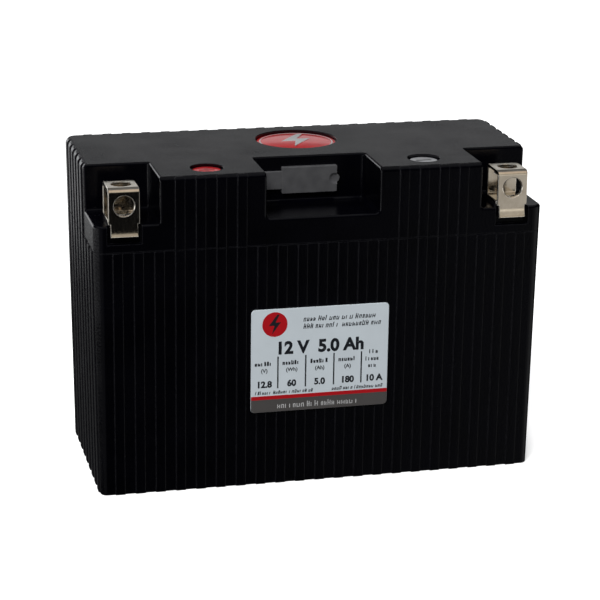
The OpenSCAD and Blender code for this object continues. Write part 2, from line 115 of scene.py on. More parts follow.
def stacked_rings(rings):
    """Points and faces of a closed solid through rings of equal length, capped at both ends."""
    count = len(rings[0])
    points = [p for ring in rings for p in ring]
    faces = []
    for row in range(len(rings) - 1):
        for i in range(count):
            j = (i + 1) % count
            faces.append((row * count + i, row * count + j,
                          (row + 1) * count + j, (row + 1) * count + i))
    faces.append(tuple(range(count)))
    faces.append(tuple((len(rings) - 1) * count + i for i in range(count)))
    return points, faces


def join_parts(parts):
    """One list of points and faces from several."""
    points, faces = [], []
    for more_points, more_faces in parts:
        start = len(points)
        points += more_points
        faces += [tuple(start + i for i in face) for face in more_faces]
    return points, faces


def box_part(low, high):
    x0, y0, z0 = low
    x1, y1, z1 = high
    points = [(x0, y0, z0), (x1, y0, z0), (x1, y1, z0), (x0, y1, z0),
              (x0, y0, z1), (x1, y0, z1), (x1, y1, z1), (x0, y1, z1)]
    faces = [(0, 1, 2, 3), (4, 5, 6, 7), (0, 1, 5, 4), (1, 2, 6, 5), (2, 3, 7, 6), (3, 0, 4, 7)]
    return points, faces


def lathe_part(profile, centre, steps):
    """A solid of revolution about an upright line; profile holds radius and height pairs."""
    rings = []
    for radius, z in profile:
        rings.append([(centre[0] + radius * math.cos(2 * math.pi * i / steps),
                       centre[1] + radius * math.sin(2 * math.pi * i / steps),
                       z) for i in range(steps)])
    return stacked_rings(rings)


def combine(target, tool, operation):
    """Adds or takes away a tool mesh and keeps the result as the target's own mesh."""
    change = target.modifiers.new("combine", "BOOLEAN")
    change.operation = operation
    change.solver = "EXACT"
    change.object = tool
    bpy.context.view_layer.update()
    graph = bpy.context.evaluated_depsgraph_get()
    result = bpy.data.meshes.new_from_object(target.evaluated_get(graph))
    target.modifiers.clear()
    target.data = result
    bpy.data.objects.remove(tool)
    return target


def soften_edges(piece, width, segments, chosen):
    """Rounds the edges that chosen(edge) accepts."""
    bm = bmesh.new()
    bm.from_mesh(piece.data)
    edges = [e for e in bm.edges if len(e.link_faces) == 2 and chosen(e)]
    bmesh.ops.bevel(bm, geom=edges, offset=width * MM, segments=segments, profile=0.5,
                    affect="EDGES", clamp_overlap=True)
    bm.to_mesh(piece.data)
    bm.free()


WIDE_FACE = 150.0


def shade(piece, degrees):
    """Smooth shading that keeps edges sharper than the given angle, and wide faces flat."""
    mesh = piece.data
    mesh.polygons.foreach_set("use_smooth", [True] * len(mesh.polygons))
    mesh.set_sharp_from_angle(angle=math.radians(degrees))
    around = {key for face in mesh.polygons if face.area > WIDE_FACE * MM * MM
              for key in face.edge_keys}
    for edge in mesh.edges:
        if edge.key in around:
            edge.use_edge_sharp = True
    weighted = piece.modifiers.new("weighted", "WEIGHTED_NORMAL")
    weighted.keep_sharp = True
    weighted.weight = 60


# ---------------------------------------------------------------- body shapes
CORNER_STEPS = 12
ROLL_STEPS = 6


def plan_ring(inset, z):
    """The rounded outline of the wall, moved in by inset, at height z."""
    radius = max(CORNER - RIB_HEIGHT - inset, 0.8)
    half_x = FACE_X - inset - radius
    half_y = FACE_Y - inset - radius
    ring = []
    for corner, (sx, sy) in enumerate([(1, 1), (-1, 1), (-1, -1), (1, -1)]):
        for i in range(CORNER_STEPS + 1):
            angle = math.radians(90 * corner + 90 * i / CORNER_STEPS)
            ring.append((sx * half_x + radius * math.cos(angle),
                         sy * half_y + radius * math.sin(angle), z))
    return ring


def top_roll_rings():
    rings = []
    z_start = HEIGHT - TOP_ROLL
    for i in range(ROLL_STEPS + 1):
        angle = math.radians(90 * i / ROLL_STEPS)
        rings.append(plan_ring(lean(z_start) + TOP_ROLL * (1 - math.cos(angle)),
                               z_start + TOP_ROLL * math.sin(angle)))
    return rings


def foot_roll_rings():
    rings = []
    for i in range(ROLL_STEPS + 1):
        angle = math.radians(90 * (1 - i / ROLL_STEPS))
        rings.append(plan_ring(DRAFT + FOOT_ROLL * (1 - math.cos(angle)),
                               FOOT_ROLL * (1 - math.sin(angle))))
    return rings


def rib_section(width, proud):
    """Cross-section of a rib: sideways and outward distances, from one root to the other."""
    root = 0.5
    round_edge = min(0.18, max(0.05, (proud + root) * 0.4))
    slope = 0.07
    half = width / 2
    section = [(-half, -root)]
    for i in range(4):
        angle = math.radians(90 * i / 3)
        section.append((-half + slope + round_edge * (1 - math.cos(angle)),
                        proud - round_edge * (1 - math.sin(angle))))
    section += [(-x, y) for x, y in reversed(section)]
    return section


def rib_part(along, stations, half_face, side, upright_faces_x):
    """One rib along the wall. A station is (inset, z, slope of the wall, proud, width)."""
    rings = []
    for inset, z, tilt, proud, width in stations:
        ring = []
        for dx, out in rib_section(width, proud):
            reach = half_face - inset + out * math.cos(tilt)
            height = z + out * math.sin(tilt)
            if upright_faces_x:
                ring.append((side * reach, along + dx, height))
            else:
                ring.append((along + dx, side * reach, height))
        rings.append(ring)
    return stacked_rings(rings)


def cover_rib_stations():
    stations = []
    for z in (SEAM + GROOVE + 0.02, 92.0, 101.6):
        stations.append((lean(z), z, 0.0, RIB_HEIGHT, RIB_WIDTH))
    z_start = HEIGHT - TOP_ROLL
    fade = [(4, 0.45, 1.0), (18, 0.43, 1.0), (32, 0.40, 1.0), (46, 0.35, 0.99),
            (58, 0.24, 0.96), (68, 0.11, 0.9), (76, 0.03, 0.8), (84, -0.03, 0.65)]
    for degrees, proud, share in fade:
        angle = math.radians(degrees)
        stations.append((lean(z_start) + TOP_ROLL * (1 - math.cos(angle)),
                         z_start + TOP_ROLL * math.sin(angle), angle, proud,
                         RIB_WIDTH * share))
    return stations


def case_rib_stations():
    stations = []
    fade = [(72, -0.14, 0.75), (62, 0.02, 0.88), (48, 0.2, 0.96), (30, 0.36, 1.0), (12, 0.43, 1.0)]
    for degrees, proud, share in fade:
        angle = math.radians(degrees)
        stations.append((DRAFT + FOOT_ROLL * (1 - math.cos(angle)),
                         FOOT_ROLL * (1 - math.sin(angle)), -angle, proud,
                         RIB_WIDTH * share))
    for z in (1.6, 41.0, SEAM - GROOVE - 0.02):
        stations.append((lean(z), z, 0.0, RIB_HEIGHT, RIB_WIDTH))
    return stations


def rib_rows(stations, front, back, ends):
    """All the ribs of one moulding; the lists hold positions in steps from the middle."""
    parts = []
    for step in front:
        parts.append(rib_part(step * RIB_PITCH, stations, FACE_Y, -1, False))
    for step in back:
        parts.append(rib_part(step * RIB_PITCH, stations, FACE_Y, 1, False))
    for step in ends:
        for side in (-1, 1):
            parts.append(rib_part(step * RIB_PITCH, stations, FACE_X, side, True))
    return join_parts(parts)


def make_case():
    inner = DRAFT + WALL
    tongue = inner - 1.5
    floor = 2.4
    rings = foot_roll_rings()
    rings += [plan_ring(lean(SEAM - GROOVE), SEAM - GROOVE),
              plan_ring(lean(SEAM) + GROOVE_DEPTH, SEAM - GROOVE),
              plan_ring(lean(SEAM) + GROOVE_DEPTH, SEAM),
              plan_ring(tongue, SEAM), plan_ring(tongue, SEAM + 1.0),
              plan_ring(inner, SEAM + 1.0), plan_ring(inner, floor)]
    case = mesh_piece("case_shell", *stacked_rings(rings))
    ribs = mesh_piece("case_ribs", *rib_rows(case_rib_stations(), range(-10, 11),
                                             range(-10, 11), range(-4, 5)))
    combine(case, ribs, "UNION")
    shade(case, 38)
    return case


def rounded_cutter(name, low, high, radius, chosen):
    """A box with some edges rounded, marked so that the faces it leaves can be found."""
    cutter = mesh_piece(name, *box_part(low, high))
    soften_edges(cutter, radius, 4, chosen)
    for index in range(2):
        cutter.data.materials.append(MARKS[index])
    cutter.data.polygons.foreach_set("material_index", [1] * len(cutter.data.polygons))
    return cutter


MARKS = [bpy.data.materials.new("mark_body"), bpy.data.materials.new("mark_cut")]


def inner_edges(limit_x, back_y):
    """Accepts the lower and rear edges of a cutter, which become the inside corners."""
    def chosen(edge):
        mid = (edge.verts[0].co + edge.verts[1].co) / (2 * MM)
        at_back = abs(mid.y - back_y) < 0.01
        at_floor = abs(mid.z - LEDGE) < 0.01
        at_side = any(abs(mid.x - x) < 0.01 for x in limit_x)
        return at_back + at_floor + at_side >= 2
    return chosen


def cut_rim(bm_edge):
    """Accepts the convex edges between the walls of a pocket and the outside."""
    faces = bm_edge.link_faces
    between = {f.material_index for f in faces} == {0, 1}
    return between and bm_edge.calc_face_angle_signed(0) > math.radians(30)


def make_cover():
    rings = [plan_ring(lean(SEAM) + GROOVE_DEPTH, SEAM),
             plan_ring(lean(SEAM) + GROOVE_DEPTH, SEAM + GROOVE),
             plan_ring(lean(SEAM + GROOVE), SEAM + GROOVE)]
    rings += top_roll_rings()
    cover = mesh_piece("cover_shell", *stacked_rings(rings))
    for index in range(2):
        cover.data.materials.append(MARKS[index])
    beyond = 10
    for side in (-1, 1):
        xs = sorted((side * POCKET_X, side * (LENGTH / 2 + beyond)))
        combine(cover, rounded_cutter("pocket_cutter", (xs[0], -DEPTH, LEDGE),
                                      (xs[1], POCKET_Y, HEIGHT + beyond), 0.8,
                                      inner_edges([side * POCKET_X], POCKET_Y)), "DIFFERENCE")
    combine(cover, rounded_cutter("notch_cutter", (-NOTCH_X, -DEPTH, LEDGE),
                                  (NOTCH_X, NOTCH_Y, HEIGHT + beyond), 1.3,
                                  inner_edges([-NOTCH_X, NOTCH_X], NOTCH_Y)), "DIFFERENCE")
    soften_edges(cover, EDGE_ROUND, 5, cut_rim)
    cut_small_features(cover)
    add_seats(cover)
    hollow(cover)
    ribs = mesh_piece("cover_ribs", *rib_rows(cover_rib_stations(),
                                              [-7, -6, -5, -4, 4, 5, 6, 7],
                                              range(-10, 11), range(-1, 5)))
    combine(cover, ribs, "UNION")
    cover.data.materials.clear()
    shade(cover, 38)
    return cover


def recess_profile(radius, depth, rim):
    """Cutter of a round recess whose rim is rounded over."""
    top = HEIGHT
    profile = [(radius - 0.15, top - depth), (radius, top - depth + 0.15)]
    for i in range(5):
        angle = math.radians(90 * i / 4)
        profile.append((radius + rim * (1 - math.cos(angle)), top - rim + rim * math.sin(angle)))
    profile.append((radius + rim, top + 1))
    return profile


def cut_small_features(cover):
    for side in (-1, 1):
        disc = lathe_part(recess_profile(5.3, DISC_DEPTH, 0.2), (side * DISC_X, DISC_Y), 56)
        combine(cover, mesh_piece("recess", *disc), "DIFFERENCE")
        x = TERMINAL_X[side]
        slot = box_part((x - 5.5, -DEPTH, LEDGE - 6), (x + 5.5, -DEPTH / 2 + 2.8, LEDGE + 1))
        combine(cover, mesh_piece("slot", *slot), "DIFFERENCE")
    badge = lathe_part(recess_profile(13.6, BADGE_DEPTH, 0.2), (BADGE_X, BADGE_Y), 96)
    combine(cover, mesh_piece("recess", *badge), "DIFFERENCE")
    port = box_part((-7.6, NOTCH_Y - 1, 94.3), (7.6, NOTCH_Y + 3.2, 100.3))
    combine(cover, mesh_piece("port_opening", *port), "DIFFERENCE")


def add_seats(cover):
    for side in (-1, 1):
        x = TERMINAL_X[side]
        seat = mesh_piece("seat", *box_part((x - 5, -29.8, LEDGE - 0.3), (x + 5, -20, LEDGE + 0.6)))
        combine(cover, seat, "UNION")


def hollow(cover):
    """Opens the underside: a cavity that keeps clear of the pockets, the notch and the slots."""
    roof = HEIGHT - 2.4
    core = mesh_piece("cavity", *stacked_rings([plan_ring(0.3 + WALL, SEAM - 1),
                                                plan_ring(0.3 + WALL, roof)]))
    for side in (-1, 1):
        xs = sorted((side * (POCKET_X - WALL), side * LENGTH))
        combine(core, mesh_piece("keep", *box_part((xs[0], -DEPTH, LEDGE - WALL),
                                                   (xs[1], POCKET_Y + WALL, HEIGHT))),
                "DIFFERENCE")
        x = TERMINAL_X[side]
        combine(core, mesh_piece("keep", *box_part((x - 7.7, -DEPTH, SEAM - 2),
                                                   (x + 7.7, -29, LEDGE))), "DIFFERENCE")
    combine(core, mesh_piece("keep", *box_part((-NOTCH_X - WALL, -DEPTH, LEDGE - WALL),
                                               (NOTCH_X + WALL, NOTCH_Y + WALL, HEIGHT))),
            "DIFFERENCE")
    combine(cover, core, "DIFFERENCE")
    rebate = mesh_piece("rebate", *stacked_rings([plan_ring(1.8, SEAM - 1),
                                                  plan_ring(1.8, SEAM + 1.4)]))
    combine(cover, rebate, "DIFFERENCE")


# ---------------------------------------------------------------- terminals
STRIP = 10.0
PLATE = 1.2
TERMINAL_FRONT = -32.0
TERMINAL_BACK = -20.0
TERMINAL_LOW = 90.6
TERMINAL_TOP = 102.0
BEND = 1.7
TAB_END = 86.4
TAB_WIDTH = 8.8
TAB_FLARE = 0.85
TAB_TURN = 22.0
HOLE_RADIUS = 3.2
HOLE_Z = 96.3
HOLE_Y = -26.0


def strip_section(width):
    """Cross-section of the folded strip: across its width and through its thickness."""
    edge = 0.34
    half_w, half_t = width / 2, PLATE / 2
    section = []
    for corner, (sx, st) in enumerate([(1, 1), (-1, 1), (-1, -1), (1, -1)]):
        for i in range(4):
            angle = math.radians(90 * corner + 90 * i / 3)
            section.append((sx * (half_w - edge) + edge * math.cos(angle),
                            st * (half_t - edge) + edge * math.sin(angle)))
    return section


def strip_path():
    """Middle line of the strip as (y, z, direction in degrees, width) from the tab upwards."""
    mid = PLATE / 2
    radius = BEND - mid
    front = TERMINAL_FRONT + mid
    back = TERMINAL_BACK - mid
    low = TERMINAL_LOW + mid
    top = TERMINAL_TOP - mid
    path = []
    for i in range(7):
        share = i / 6
        path.append((front - TAB_FLARE * (1 - share) ** 2,
                     TAB_END + (TERMINAL_LOW - 0.1 - TAB_END) * share,
                     90 - TAB_TURN * (1 - share), TAB_WIDTH))
    path += [(front, TERMINAL_LOW - 0.06, 90, TAB_WIDTH), (front, TERMINAL_LOW, 90, STRIP),
            (front, HOLE_Z - 4, 90, STRIP), (front, HOLE_Z + 3.6, 90, STRIP)]
    turns = [(front + radius, top - radius, 180), (back - radius, top - radius, 90),
             (back - radius, low + radius, 0)]
    for y, z, start in turns:
        for i in range(7):
            angle = math.radians(start - 90 * i / 6)
            path.append((y + radius * math.cos(angle), z + radius * math.sin(angle),
                         start - 90 * i / 6 - 90, STRIP))
    path += [(front + mid + 0.4, low, 180, STRIP), (front + mid + 0.25, low, 180, STRIP - 0.3)]
    return path


def drill(radius, rim, depth, steps):
    """Cutter of a drilled hole along Z with both rims broken by a small chamfer."""
    half = depth / 2
    profile = [(radius + rim + 1, -half - 1), (radius + rim, -half), (radius, -half + rim),
               (radius, half - rim), (radius + rim, half), (radius + rim + 1, half + 1)]
    return lathe_part(profile, (0, 0), steps)


def make_terminal(name, side):
    rings = []
    for y, z, degrees, width in strip_path():
        along = math.radians(degrees)
        normal = (-math.sin(along), math.cos(along))
        rings.append([(TERMINAL_X[side] + across, y + through * normal[0],
                       z + through * normal[1]) for across, through in strip_section(width)])
    strip = mesh_piece(name, *stacked_rings(rings))
    front_hole = mesh_piece("drill", *drill(HOLE_RADIUS, 0.22, PLATE, 48))
    front_hole.data.transform(Matrix.Translation(Vector((TERMINAL_X[side],
                                                         TERMINAL_FRONT + PLATE / 2, HOLE_Z)) * MM)
                              @ Matrix.Rotation(math.radians(90), 4, "X"))
    combine(strip, front_hole, "DIFFERENCE")
    top_hole = mesh_piece("drill", *drill(HOLE_RADIUS, 0.22, PLATE, 48))
    top_hole.data.transform(Matrix.Translation(Vector((TERMINAL_X[side], HOLE_Y,
                                                       TERMINAL_TOP - PLATE / 2)) * MM))
    combine(strip, top_hole, "DIFFERENCE")
    rivet_hole = mesh_piece("drill", *drill(1.65, 0.1, PLATE, 32))
    rivet_hole.data.transform(Matrix.Translation(Vector((TERMINAL_X[side], HOLE_Y,
                                                         TERMINAL_LOW + PLATE / 2)) * MM))
    combine(strip, rivet_hole, "DIFFERENCE")
    shade(strip, 35)
    return strip


# ---------------------------------------------------------------- discs and badge
def dome_profile(radius, low, high, rise, rim):
    """Radius and height pairs of a disc with a rounded rim and a gently domed top."""
    profile = [(radius, low), (radius, high - rim)]
    for i in range(1, 5):
        angle = math.radians(90 * i / 4)
        profile.append((radius - rim * (1 - math.cos(angle)), high - rim * (1 - math.sin(angle))))
    for i in range(1, 8):
        share = 1 - i / 8
        profile.append(((radius - rim) * share, high + rise * (1 - share * share)))
    return profile


def make_disc(name, x, y, radius, low, high, rise, rim, steps):
    disc = mesh_piece(name, *lathe_part(dome_profile(radius, low, high, rise, rim), (x, y), steps))
    shade(disc, 45)
    return disc


def outline_part(outline, low, high, bevel=0.0):
    """A flat plate from an outline, with its upper edge drawn in by bevel."""
    centre_x = sum(p[0] for p in outline) / len(outline)
    centre_y = sum(p[1] for p in outline) / len(outline)
    rings = [[(x, y, low) for x, y in outline], [(x, y, high - bevel) for x, y in outline]]
    if bevel:
        drawn = []
        for x, y in outline:
            away = math.hypot(x - centre_x, y - centre_y)
            share = max(0.0, 1 - bevel / max(away, 1e-6))
            drawn.append((centre_x + (x - centre_x) * share,
                          centre_y + (y - centre_y) * share, high))
        rings.append(drawn)
    return stacked_rings(rings)


def bolt_outline(x, y, size):
    """A plain lightning bolt, the general sign for electricity."""
    shape = [(0.12, 0.5), (-0.3, -0.06), (-0.02, -0.06), (-0.14, -0.5), (0.3, 0.1), (0.03, 0.1),
             (0.24, 0.5)]
    return [(x + size * u, y + size * v) for u, v in shape]


def bar_outline(x, y, width, height):
    return [(x - width / 2, y - height / 2), (x + width / 2, y - height / 2),
            (x + width / 2, y + height / 2), (x - width / 2, y + height / 2)]


def plus_outline(x, y, span, width):
    a, b = width / 2, span / 2
    shape = [(-a, -b), (a, -b), (a, -a), (b, -a), (b, a), (a, a), (a, b), (-a, b), (-a, a),
             (-b, a), (-b, -a), (-a, -a)]
    return [(x + u, y + v) for u, v in shape]


def ring_part(x, y, outer, inner, low, high, steps):
    """A flat ring with square edges."""
    rings = []
    for radius, z in ((outer, low), (outer, high), (inner, high), (inner, low)):
        rings.append([(x + radius * math.cos(2 * math.pi * i / steps),
                       y + radius * math.sin(2 * math.pi * i / steps), z) for i in range(steps)])
    points = [p for ring in rings for p in ring]
    faces = []
    for row in range(4):
        after = (row + 1) % 4
        for i in range(steps):
            j = (i + 1) % steps
            faces.append((row * steps + i, row * steps + j, after * steps + j, after * steps + i))
    return points, faces


# ---------------------------------------------------------------- port cap
CAP_Z = 97.3
CAP_BACK = NOTCH_Y - 0.15
CAP_WIDTH = 18.4
CAP_HEIGHT = 8.8
CAP_PLATE = 1.6
STRAP_HEIGHT = 6.0
HINGE_X = -15.4


def rounded_outline(half_x, half_z, radius, steps=4):
    outline = []
    for corner, (sx, sz) in enumerate([(1, 1), (-1, 1), (-1, -1), (1, -1)]):
        for i in range(steps + 1):
            angle = math.radians(90 * corner + 90 * i / steps)
            outline.append((sx * (half_x - radius) + radius * math.cos(angle),
                            sz * (half_z - radius) + radius * math.sin(angle)))
    return outline


def facing_plate(centre_x, centre_z, half_x, half_z, radius, back, thickness, edge):
    """A rounded plate that faces the front, with a rounded front edge."""
    rings = []
    for inset, depth in [(0, 0)] + [(edge * (1 - math.cos(math.radians(30 * i))),
                                     thickness - edge * (1 - math.sin(math.radians(30 * i))))
                                    for i in range(4)]:
        outline = rounded_outline(half_x - inset, half_z - inset, max(radius - inset, 0.05))
        rings.append([(centre_x + x, back - depth, centre_z + z) for x, z in outline])
    return stacked_rings(rings)


def make_port_cap():
    cap = mesh_piece("rubber_cap", *facing_plate(0, CAP_Z, CAP_WIDTH / 2, CAP_HEIGHT / 2, 0.4,
                                                 CAP_BACK, CAP_PLATE, 0.25))
    strap_left = HINGE_X + 0.25
    strap_right = -CAP_WIDTH / 2 + 0.6
    strap = facing_plate((strap_left + strap_right) / 2, CAP_Z, (strap_right - strap_left) / 2,
                         STRAP_HEIGHT / 2, 0.12, CAP_BACK, 1.0, 0.2)
    combine(cap, mesh_piece("strap", *strap), "UNION")
    nib = facing_plate(CAP_WIDTH / 2 - 0.5, CAP_Z, 1.5, 1.5, 1.49, CAP_BACK - 0.05,
                       CAP_PLATE - 0.5, 0.3)
    combine(cap, mesh_piece("nib", *nib), "UNION")
    ball = [(3.2 * math.sin(math.radians(15 * i)), -3.2 * math.cos(math.radians(15 * i)))
            for i in range(1, 12)]
    dimple = mesh_piece("dimple", *lathe_part(ball, (0, 0), 32))
    dimple.data.transform(Matrix.Translation(Vector((CAP_WIDTH / 2 - 0.8,
                                                     CAP_BACK - CAP_PLATE - 2.4, CAP_Z)) * MM)
                          @ Matrix.Rotation(math.radians(90), 4, "X"))
    combine(cap, dimple, "DIFFERENCE")
    skirt_out = facing_plate(0, CAP_Z, 6.35, 1.75, 0.8, CAP_BACK + 1.35, 1.4, 0.1)
    combine(cap, mesh_piece("skirt", *skirt_out), "UNION")
    shade(cap, 40)
    return cap


def make_cap_anchor():
    left = HINGE_X - 0.25 - 2.2
    right = HINGE_X - 0.25
    anchor = mesh_piece("cap_anchor", *facing_plate((left + right) / 2, CAP_Z, 1.1,
                                                    STRAP_HEIGHT / 2, 0.12, NOTCH_Y, 1.15, 0.2))
    shade(anchor, 40)
    return anchor


def make_cap_web():
    """The thin bending web between the anchor and the strap."""
    rings = []
    for x in [HINGE_X - 0.3 + 0.6 * i / 8 for i in range(9)]:
        thin = 0.3 * math.cos(math.pi * (x - HINGE_X) / 0.8)
        front = CAP_BACK - 1.0 + thin
        back = CAP_BACK - 0.05
        half = STRAP_HEIGHT / 2 - 0.15
        rings.append([(x, front, CAP_Z - half), (x, front, CAP_Z + half),
                      (x, back, CAP_Z + half), (x, back, CAP_Z - half)])
    web = mesh_piece("cap_web", *stacked_rings(rings))
    shade(web, 40)
    return web


# ---------------------------------------------------------------- labels
LABEL_W = 45.6
LABEL_H = 35.0
LABEL_Z = 42.7
SHEET_LOW = 0.02
SHEET_TOP = 0.22
INK_TOP = 0.25


def label_place(side):
    """Turns label coordinates (right, up, outward) into the frame; side 1 is the front."""
    tilt = math.atan(DRAFT / HEIGHT)
    place = (Matrix.Translation(Vector((-0.6, -(DEPTH / 2 - lean(LABEL_Z)), LABEL_Z)) * MM)
             @ Matrix.Rotation(math.radians(90) + tilt, 4, "X"))
    if side < 0:
        place = Matrix.Rotation(math.pi, 4, "Z") @ place
    return place


class Print:
    """Collects flat printed shapes of one ink, in label coordinates."""

    def __init__(self, seed=1):
        self.parts = []
        self.state = seed

    def random(self):
        self.state = (self.state * 1103515245 + 12345) % 2147483648
        return self.state / 2147483648

    def shape(self, outline):
        self.parts.append(outline_part(outline, SHEET_LOW + 0.1, INK_TOP))

    def bar(self, x, y, width, height):
        self.shape(bar_outline(x, y, width, height))

    def greek(self, x0, x1, y, height, stroke, slant=0.0):
        """A line of meaningless strokes in word-like groups, in place of small print."""
        x = x0
        while x < x1 - height * 0.5:
            letters = 3 + int(self.random() * 6)
            for _ in range(letters):
                width = height * (0.38 + 0.2 * self.random())
                if x + width > x1:
                    break
                tall = height * (1.0 if self.random() < 0.3 else 0.7)
                self.stroke(x, y, stroke, tall, slant)
                if self.random() < 0.75:
                    self.stroke(x + width - stroke, y, stroke, tall * (0.75 + 0.25 * self.random()),
                                slant)
                    level = [0.0, tall / 2, tall][int(self.random() * 3)]
                    self.cross(x, y + max(level - stroke, 0), width, stroke, slant * level)
                x += width + height * 0.2
            x += height * 0.35

    def stroke(self, x, y, width, height, slant):
        lean_over = slant * height
        self.shape([(x, y), (x + width, y), (x + width + lean_over, y + height),
                    (x + lean_over, y + height)])

    def cross(self, x, y, width, thick, shift):
        self.shape([(x + shift, y), (x + width + shift, y), (x + width + shift, y + thick),
                    (x + shift, y + thick)])

    def make(self, name, side):
        piece = mesh_piece(name, *join_parts(self.parts))
        piece.data.transform(label_place(side))
        return piece


def text_mesh(words, x, y, height, weight, side):
    """Numbers and unit signs as a thin mesh, centred on x with the foot of the line at y."""
    curve = bpy.data.curves.new("words", "FONT")
    curve.body = words
    curve.size = height * MM / 0.73
    curve.align_x = "CENTER"
    curve.offset = weight * MM
    curve.extrude = (INK_TOP - SHEET_LOW - 0.1) / 2 * MM
    curve.resolution_u = 4
    holder = link("words", curve)
    bpy.context.view_layer.update()
    mesh = bpy.data.meshes.new_from_object(
        holder.evaluated_get(bpy.context.evaluated_depsgraph_get()))
    bpy.data.objects.remove(holder)
    mesh.transform(label_place(side) @ Matrix.Translation(
        Vector((x, y, (INK_TOP + SHEET_LOW + 0.1) / 2)) * MM))
    return mesh


def add_meshes(piece, meshes):
    bm = bmesh.new()
    bm.from_mesh(piece.data)
    for mesh in meshes:
        bm.from_mesh(mesh)
    bm.to_mesh(piece.data)
    bm.free()


def label_y(v):
    return (0.5 - v) * LABEL_H


def label_x(u):
    return (u - 0.5) * LABEL_W


def make_label_sheet(name, side):
    outline = rounded_outline(LABEL_W / 2, LABEL_H / 2, 1.4, 8)
    inner = rounded_outline(LABEL_W / 2 - 0.06, LABEL_H / 2 - 0.06, 1.34, 8)
    rings = [[(x, y, SHEET_LOW) for x, y in outline],
             [(x, y, SHEET_TOP - 0.06) for x, y in outline],
             [(x, y, SHEET_TOP) for x, y in inner]]
    sheet = mesh_piece(name, *stacked_rings(rings))
    sheet.data.transform(label_place(side))
    shade(sheet, 35)
    return sheet


def footer_outline(top):
    """The lower end of the label, which keeps the sheet's rounded corners."""
    half_w, half_h = LABEL_W / 2 - 0.07, LABEL_H / 2 - 0.07
    outline = [(half_w, top), (-half_w, top)]
    for start, sx in ((180, -1), (270, 1)):
        for i in range(7):
            angle = math.radians(start + 90 * i / 6)
            outline.append((sx * (half_w - 1.3) + 1.3 * math.cos(angle),
                            -half_h + 1.3 + 1.3 * math.sin(angle)))
    return outline


COLUMNS = [(-18.4, "12.8", "(V)"), (-9.3, "60", "(Wh)"), (0.0, "5.0", "(Ah)"), (9.3, "180", "(A)"),
           (18.2, "10 A", "")]
DIVIDERS = (-13.9, -4.7, 4.7, 13.9)


def make_front_print():
    dark = Print(seed=7)
    texts = [text_mesh("12 V  5.0 Ah", 0, label_y(0.435), 4.2, 0.24, 1)]
    for x in DIVIDERS:
        dark.bar(x, label_y(0.615), 0.45, 10.8)
    for x, value, unit in COLUMNS:
        texts.append(text_mesh(value, x, label_y(0.755), 2.15, 0.13, 1))
        if unit:
            dark.greek(x - 3.1, x + 3.2, label_y(0.545), 1.45, 0.34)
            texts.append(text_mesh(unit, x, label_y(0.61), 1.3, 0.04, 1))
        else:
            for v, half in ((0.487, 1.7), (0.555, 2.9), (0.622, 1.9)):
                dark.greek(x - half, x + half, label_y(v), 1.4, 0.3)
    for v, u0, u1 in ((0.135, 0.375, 0.92), (0.205, 0.375, 0.955)):
        dark.greek(label_x(u0), label_x(u1), label_y(v), 1.75, 0.27, slant=0.22)
    dark.greek(label_x(0.03), label_x(0.46), label_y(0.825), 1.2, 0.22, slant=0.22)
    dark.greek(label_x(0.59), label_x(0.975), label_y(0.825), 1.2, 0.22, slant=0.22)
    dark.shape(bolt_outline(label_x(0.17), label_y(0.148), 6.6))
    ink = dark.make("label_print", 1)
    add_meshes(ink, texts)
    return ink


def make_front_colours():
    red = Print()
    centre = (label_x(0.17), label_y(0.148))
    red.parts.append(outline_part([(centre[0] + 4.15 * math.cos(math.radians(6 * i)),
                                    centre[1] + 4.15 * math.sin(math.radians(6 * i)))
                                   for i in range(60)], SHEET_LOW + 0.1, INK_TOP - 0.012))
    red.bar(0, label_y(0.858), LABEL_W - 0.14, 1.25)
    footer = Print()
    footer.shape(footer_outline(label_y(0.876)))
    light = Print(seed=23)
    for x0, x1 in ((-14.0, 14.3),):
        light.greek(x0, x1, label_y(0.968), 1.9, 0.26)
    light_piece = light.make("label_footer_marks", 1)
    light_piece.data.transform(Matrix.Translation((0, -0.012 * MM, 0)))
    return red.make("label_red", 1), footer.make("label_footer", 1), light_piece


def make_back_print():
    dark = Print(seed=31)
    for row in range(9):
        y = label_y(0.2 + 0.062 * row)
        dark.greek(label_x(0.08), label_x(0.92 - 0.2 * dark.random()), y, 1.25, 0.17)
    for i in range(4):
        x = label_x(0.14 + 0.24 * i)
        dark.bar(x, label_y(0.07), 5.2, 0.25)
        dark.bar(x, label_y(0.145), 5.2, 0.25)
    return dark.make("label_back_print", -1)


def make_back_colours():
    red = Print()
    red.bar(0, label_y(0.858), LABEL_W - 0.14, 1.25)
    footer = Print()
    footer.shape(footer_outline(label_y(0.876)))
    return red.make("label_back_red", -1), footer.make("label_back_footer", -1)


